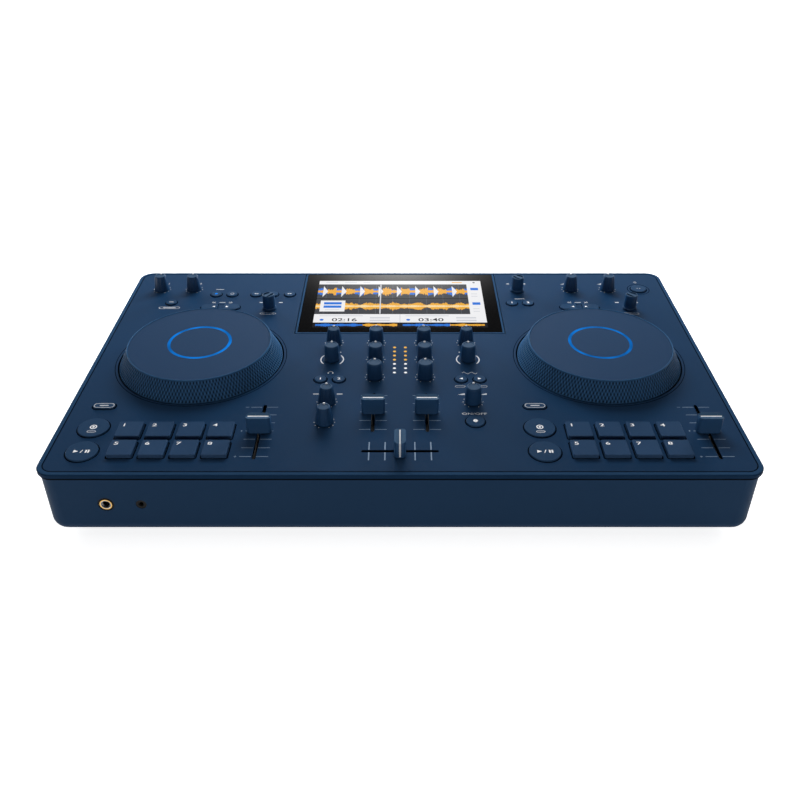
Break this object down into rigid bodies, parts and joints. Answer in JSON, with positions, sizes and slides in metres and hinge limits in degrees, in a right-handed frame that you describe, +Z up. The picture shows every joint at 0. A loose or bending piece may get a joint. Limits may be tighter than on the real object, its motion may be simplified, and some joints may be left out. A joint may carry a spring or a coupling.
{
  "type": "all-in-one dj system",
  "caption": "Flat two-deck console with dimpled jog wheels, pads, faders, mixer knobs, a flush display and headphone sockets.",
  "frame": {"origin": "on the standing surface under the middle of the body", "axes": "+X to the user's right along the body's width, +Y to the back, +Z up"},
  "size_m": [0.622, 0.386, 0.0897],
  "materials": {
    "case": "fine-grained dark blue moulding",
    "panel": "satin dark blue face plate",
    "foot_rubber": "matt black rubber",
    "screw_steel": "dark plated steel",
    "screen_glass": "clear cover glass",
    "screen": "lit colour display",
    "meter_light": "amber and white light pipes",
    "board": "green circuit board",
    "battery": "grey wrapped cells",
    "switchgear": "dark moulded bodies",
    "socket": "black moulding, brass ring at the large front socket",
    "wheel": "dark blue moulding with a dimpled wall",
    "plate": "satin dark blue disc",
    "jog_glow": "lit blue ring",
    "control": "satin dark blue moulding",
    "pad_rubber": "soft dark blue rubber"
  },
  "bodies": {
    "chassis": {"lower_case": "case", "top_frame": "case", "top_panel": "panel", "rubber_feet": "foot_rubber", "case_screws": "screw_steel", "display_glass": "screen_glass", "display_panel": "screen", "meter_leds": "meter_light", "main_board": "board", "battery_pack": "battery", "control_bodies": "switchgear", "front_sockets": "socket", "rear_sockets": "socket"},
    "left_jog": {"left_jog_wheel": "wheel", "left_jog_plate": "plate", "left_jog_light": "jog_glow"},
    "right_jog": {"right_jog_wheel": "wheel", "right_jog_plate": "plate", "right_jog_light": "jog_glow"},
    "left_shift_button": {"left_shift_button": "control"},
    "left_cue_button": {"left_cue_button": "control"},
    "left_play_button": {"left_play_button": "control"},
    "left_pads": {"left_pads": "pad_rubber"},
    "left_jump_keys": {"left_jump_keys": "control"},
    "left_tempo_fader": {"left_tempo_fader": "control"},
    "left_channel_fader": {"left_channel_fader": "control"},
    "left_loop_encoder": {"left_loop_encoder": "control"},
    "left_high_knob": {"left_high_knob": "control"},
    "left_mid_knob": {"left_mid_knob": "control"},
    "left_low_knob": {"left_low_knob": "control"},
    "left_gain_knob": {"left_gain_knob": "control"},
    "left_filter_knob": {"left_filter_knob": "control"},
    "right_shift_button": {"right_shift_button": "control"},
    "right_cue_button": {"right_cue_button": "control"},
    "right_play_button": {"right_play_button": "control"},
    "right_pads": {"right_pads": "pad_rubber"},
    "right_jump_keys": {"right_jump_keys": "control"},
    "right_tempo_fader": {"right_tempo_fader": "control"},
    "right_channel_fader": {"right_channel_fader": "control"},
    "right_loop_encoder": {"right_loop_encoder": "control"},
    "right_high_knob": {"right_high_knob": "control"},
    "right_mid_knob": {"right_mid_knob": "control"},
    "right_low_knob": {"right_low_knob": "control"},
    "right_gain_knob": {"right_gain_knob": "control"},
    "right_filter_knob": {"right_filter_knob": "control"},
    "crossfader": {"crossfader": "control"},
    "cue_mix_knob": {"cue_mix_knob": "control"},
    "cue_level_knob": {"cue_level_knob": "control"},
    "effect_level_knob": {"effect_level_knob": "control"},
    "mic_level_knob": {"mic_level_knob": "control"},
    "mic_tone_knob": {"mic_tone_knob": "control"},
    "phones_level_knob": {"phones_level_knob": "control"},
    "output_level_knob": {"output_level_knob": "control"},
    "browse_encoder": {"browse_encoder": "control"},
    "phones_buttons": {"phones_buttons": "control"},
    "effect_buttons": {"effect_buttons": "control"},
    "effect_switch": {"effect_switch": "control"},
    "load_buttons": {"load_buttons": "control"},
    "rear_buttons": {"rear_buttons": "control"},
    "power_button": {"power_button": "control"}
  },
  "joints": [
    {"name": "left_jog_turn", "type": "hinge", "parent": "chassis", "child": "left_jog", "pos_m": [-0.202, -0.005, 0.0701], "axis": [0, 0, -1], "continuous": true},
    {"name": "right_jog_turn", "type": "hinge", "parent": "chassis", "child": "right_jog", "pos_m": [0.202, -0.005, 0.0701], "axis": [0, 0, -1], "continuous": true},
    {"name": "left_shift_button_press", "type": "slide", "parent": "chassis", "child": "left_shift_button", "axis": [0, 0, -1], "range_m": [0, 0.0008], "stiffness_N_per_m": 300, "springref_m": -0.001},
    {"name": "left_cue_button_press", "type": "slide", "parent": "chassis", "child": "left_cue_button", "axis": [0, 0, -1], "range_m": [0, 0.0008], "stiffness_N_per_m": 300, "springref_m": -0.001},
    {"name": "left_play_button_press", "type": "slide", "parent": "chassis", "child": "left_play_button", "axis": [0, 0, -1], "range_m": [0, 0.0008], "stiffness_N_per_m": 300, "springref_m": -0.001},
    {"name": "left_pads_press", "type": "slide", "parent": "chassis", "child": "left_pads", "axis": [0, 0, -1], "range_m": [0, 0.0008], "stiffness_N_per_m": 900, "springref_m": -0.001},
    {"name": "left_jump_keys_press", "type": "slide", "parent": "chassis", "child": "left_jump_keys", "axis": [0, 0, -1], "range_m": [0, 0.0008], "stiffness_N_per_m": 300, "springref_m": -0.001},
    {"name": "left_tempo_fader_slide", "type": "slide", "parent": "chassis", "child": "left_tempo_fader", "axis": [0, 1, 0], "range_m": [-0.0375, 0.0375]},
    {"name": "left_channel_fader_slide", "type": "slide", "parent": "chassis", "child": "left_channel_fader", "axis": [0, 1, 0], "range_m": [-0.0274, 0.0274]},
    {"name": "left_loop_encoder_turn", "type": "hinge", "parent": "chassis", "child": "left_loop_encoder", "pos_m": [-0.1465, 0.1016, 0.0701], "axis": [0, 0, -1], "continuous": true},
    {"name": "left_high_knob_turn", "type": "hinge", "parent": "chassis", "child": "left_high_knob", "pos_m": [-0.0248, 0.026, 0.0701], "axis": [0, 0, -1], "range_deg": [-150, 150]},
    {"name": "left_mid_knob_turn", "type": "hinge", "parent": "chassis", "child": "left_mid_knob", "pos_m": [-0.0248, -0.00725, 0.0701], "axis": [0, 0, -1], "range_deg": [-150, 150]},
    {"name": "left_low_knob_turn", "type": "hinge", "parent": "chassis", "child": "left_low_knob", "pos_m": [-0.0248, -0.0405, 0.0701], "axis": [0, 0, -1], "range_deg": [-150, 150]},
    {"name": "left_gain_knob_turn", "type": "hinge", "parent": "chassis", "child": "left_gain_knob", "pos_m": [-0.0691, 0.026, 0.0701], "axis": [0, 0, -1], "range_deg": [-150, 150]},
    {"name": "left_filter_knob_turn", "type": "hinge", "parent": "chassis", "child": "left_filter_knob", "pos_m": [-0.0691, -0.00725, 0.0701], "axis": [0, 0, -1], "range_deg": [-150, 150]},
    {"name": "right_shift_button_press", "type": "slide", "parent": "chassis", "child": "right_shift_button", "axis": [0, 0, -1], "range_m": [0, 0.0008], "stiffness_N_per_m": 300, "springref_m": -0.001},
    {"name": "right_cue_button_press", "type": "slide", "parent": "chassis", "child": "right_cue_button", "axis": [0, 0, -1], "range_m": [0, 0.0008], "stiffness_N_per_m": 300, "springref_m": -0.001},
    {"name": "right_play_button_press", "type": "slide", "parent": "chassis", "child": "right_play_button", "axis": [0, 0, -1], "range_m": [0, 0.0008], "stiffness_N_per_m": 300, "springref_m": -0.001},
    {"name": "right_pads_press", "type": "slide", "parent": "chassis", "child": "right_pads", "axis": [0, 0, -1], "range_m": [0, 0.0008], "stiffness_N_per_m": 900, "springref_m": -0.001},
    {"name": "right_jump_keys_press", "type": "slide", "parent": "chassis", "child": "right_jump_keys", "axis": [0, 0, -1], "range_m": [0, 0.0008], "stiffness_N_per_m": 300, "springref_m": -0.001},
    {"name": "right_tempo_fader_slide", "type": "slide", "parent": "chassis", "child": "right_tempo_fader", "axis": [0, 1, 0], "range_m": [-0.0375, 0.0375]},
    {"name": "right_channel_fader_slide", "type": "slide", "parent": "chassis", "child": "right_channel_fader", "axis": [0, 1, 0], "range_m": [-0.0274, 0.0274]},
    {"name": "right_loop_encoder_turn", "type": "hinge", "parent": "chassis", "child": "right_loop_encoder", "pos_m": [0.2575, 0.1016, 0.0701], "axis": [0, 0, -1], "continuous": true},
    {"name": "right_high_knob_turn", "type": "hinge", "parent": "chassis", "child": "right_high_knob", "pos_m": [0.0248, 0.026, 0.0701], "axis": [0, 0, -1], "range_deg": [-150, 150]},
    {"name": "right_mid_knob_turn", "type": "hinge", "parent": "chassis", "child": "right_mid_knob", "pos_m": [0.0248, -0.00725, 0.0701], "axis": [0, 0, -1], "range_deg": [-150, 150]},
    {"name": "right_low_knob_turn", "type": "hinge", "parent": "chassis", "child": "right_low_knob", "pos_m": [0.0248, -0.0405, 0.0701], "axis": [0, 0, -1], "range_deg": [-150, 150]},
    {"name": "right_gain_knob_turn", "type": "hinge", "parent": "chassis", "child": "right_gain_knob", "pos_m": [0.0691, 0.026, 0.0701], "axis": [0, 0, -1], "range_deg": [-150, 150]},
    {"name": "right_filter_knob_turn", "type": "hinge", "parent": "chassis", "child": "right_filter_knob", "pos_m": [0.0691, -0.00725, 0.0701], "axis": [0, 0, -1], "range_deg": [-150, 150]},
    {"name": "crossfader_slide", "type": "slide", "parent": "chassis", "child": "crossfader", "axis": [1, 0, 0], "range_m": [-0.0303, 0.0303]},
    {"name": "cue_mix_knob_turn", "type": "hinge", "parent": "chassis", "child": "cue_mix_knob", "pos_m": [-0.0691, -0.0837, 0.0701], "axis": [0, 0, -1], "range_deg": [-150, 150]},
    {"name": "cue_level_knob_turn", "type": "hinge", "parent": "chassis", "child": "cue_level_knob", "pos_m": [-0.0691, -0.1166, 0.0701], "axis": [0, 0, -1], "range_deg": [-150, 150]},
    {"name": "effect_level_knob_turn", "type": "hinge", "parent": "chassis", "child": "effect_level_knob", "pos_m": [0.0691, -0.0837, 0.0701], "axis": [0, 0, -1], "range_deg": [-150, 150]},
    {"name": "mic_level_knob_turn", "type": "hinge", "parent": "chassis", "child": "mic_level_knob", "pos_m": [-0.2774, 0.1487, 0.0701], "axis": [0, 0, -1], "range_deg": [-150, 150]},
    {"name": "mic_tone_knob_turn", "type": "hinge", "parent": "chassis", "child": "mic_tone_knob", "pos_m": [-0.2402, 0.1487, 0.0701], "axis": [0, 0, -1], "range_deg": [-150, 150]},
    {"name": "phones_level_knob_turn", "type": "hinge", "parent": "chassis", "child": "phones_level_knob", "pos_m": [0.1984, 0.1487, 0.0701], "axis": [0, 0, -1], "range_deg": [-150, 150]},
    {"name": "output_level_knob_turn", "type": "hinge", "parent": "chassis", "child": "output_level_knob", "pos_m": [0.2418, 0.1487, 0.0701], "axis": [0, 0, -1], "range_deg": [-150, 150]},
    {"name": "browse_encoder_turn", "type": "hinge", "parent": "chassis", "child": "browse_encoder", "pos_m": [0.1361, 0.1452, 0.0701], "axis": [0, 0, -1], "continuous": true},
    {"name": "phones_buttons_press", "type": "slide", "parent": "chassis", "child": "phones_buttons", "axis": [0, 0, -1], "range_m": [0, 0.0008], "stiffness_N_per_m": 300, "springref_m": -0.001},
    {"name": "effect_buttons_press", "type": "slide", "parent": "chassis", "child": "effect_buttons", "axis": [0, 0, -1], "range_m": [0, 0.0008], "stiffness_N_per_m": 300, "springref_m": -0.001},
    {"name": "effect_switch_press", "type": "slide", "parent": "chassis", "child": "effect_switch", "axis": [0, 0, -1], "range_m": [0, 0.0008], "stiffness_N_per_m": 300, "springref_m": -0.001},
    {"name": "load_buttons_press", "type": "slide", "parent": "chassis", "child": "load_buttons", "axis": [0, 0, -1], "range_m": [0, 0.0008], "stiffness_N_per_m": 300, "springref_m": -0.001},
    {"name": "rear_buttons_press", "type": "slide", "parent": "chassis", "child": "rear_buttons", "axis": [0, 0, -1], "range_m": [0, 0.0008], "stiffness_N_per_m": 300, "springref_m": -0.001},
    {"name": "power_button_press", "type": "slide", "parent": "chassis", "child": "power_button", "axis": [0, 0, -1], "range_m": [0, 0.0008], "stiffness_N_per_m": 300, "springref_m": -0.001}
  ]
}
